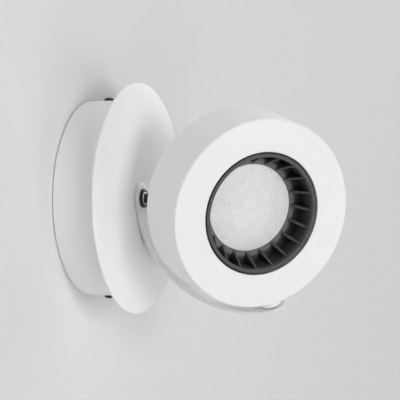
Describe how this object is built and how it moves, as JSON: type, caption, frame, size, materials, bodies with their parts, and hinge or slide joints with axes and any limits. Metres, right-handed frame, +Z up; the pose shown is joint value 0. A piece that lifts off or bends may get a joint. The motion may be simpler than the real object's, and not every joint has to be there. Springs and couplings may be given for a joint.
{
  "type": "pivoting spotlight wall light",
  "caption": "White wall spotlight: round rose and disc, curved strip arm and short drum head with a finned dark bezel and frosted lens; arm swivels, head tilts.",
  "frame": {"origin": "centre of the rose on the wall plane, midway between the two wall slots", "axes": "+Z up, +Y into the wall, the light stands out along -Y"},
  "size_m": [0.139, 0.1512, 0.1396],
  "materials": {
    "white_paint": "smooth satin white paint",
    "arm_paint": "smooth satin white paint",
    "black_steel": "blackened screw steel",
    "zinc_steel": "zinc plated",
    "plated_tube": "bright plated thread",
    "brass": "plain",
    "black_rubber": "matt",
    "black_lead": "matt sheath",
    "bezel_grey": "fine matt dark grey",
    "frosted_lens": "opal, finely grained",
    "white_plastic": "moulded",
    "board_white": "white solder mask on a metal core",
    "chip_yellow": "phosphor",
    "pad_grey": "soft",
    "sink_aluminium": "extruded",
    "fibre_black": "pressed fibre",
    "core_insulation": "brown insulation"
  },
  "bodies": {
    "rose": {"wall_bracket": "zinc_steel", "rose_housing": "white_paint", "front_disc": "white_paint", "side_screws": "black_steel", "cable_grommet": "black_rubber", "earth_screw": "brass", "earth_washer": "brass", "terminal_block": "white_plastic", "terminal_contacts": "brass", "terminal_screw": "zinc_steel", "led_driver": "white_plastic", "driver_screws": "zinc_steel", "supply_leads": "core_insulation", "lead_cores": "core_insulation", "stop_pin": "zinc_steel"},
    "arm": {"swing_arm": "arm_paint", "pivot_nipple": "plated_tube", "pivot_washer": "black_steel", "pivot_nut": "black_steel", "stop_washer": "zinc_steel", "back_spring": "zinc_steel", "back_nut": "zinc_steel", "strain_relief": "white_plastic", "relief_screw": "zinc_steel", "head_lead": "black_lead"},
    "head": {"head_shell": "white_paint", "rear_cover": "white_paint", "rear_screws": "black_steel", "lead_gland": "black_rubber", "bezel": "bezel_grey", "bezel_screws": "zinc_steel", "diffuser": "frosted_lens", "light_chamber": "white_plastic", "led_board": "board_white", "led_chips": "chip_yellow", "board_connector": "white_plastic", "board_screws": "zinc_steel", "thermal_pad": "pad_grey", "heat_sink": "sink_aluminium", "sink_screws": "zinc_steel", "board_leads": "core_insulation", "tilt_spacer": "white_paint", "tilt_washer": "fibre_black", "tilt_spring": "zinc_steel", "tilt_screw": "zinc_steel", "tilt_nut": "zinc_steel"}
  },
  "joints": [
    {"name": "arm_swivel", "type": "hinge", "parent": "rose", "child": "arm", "pos_m": [0, 0, 0], "axis": [0, -1, 0], "range_deg": [-185.9, 140.1]},
    {"name": "head_tilt", "type": "hinge", "parent": "arm", "child": "head", "pos_m": [0.00187, -0.099, -0.00442], "axis": [0.3876, -0.0872, -0.9177], "range_deg": [-103.5, 16.5], "deforming": ["head_lead"]}
  ]
}
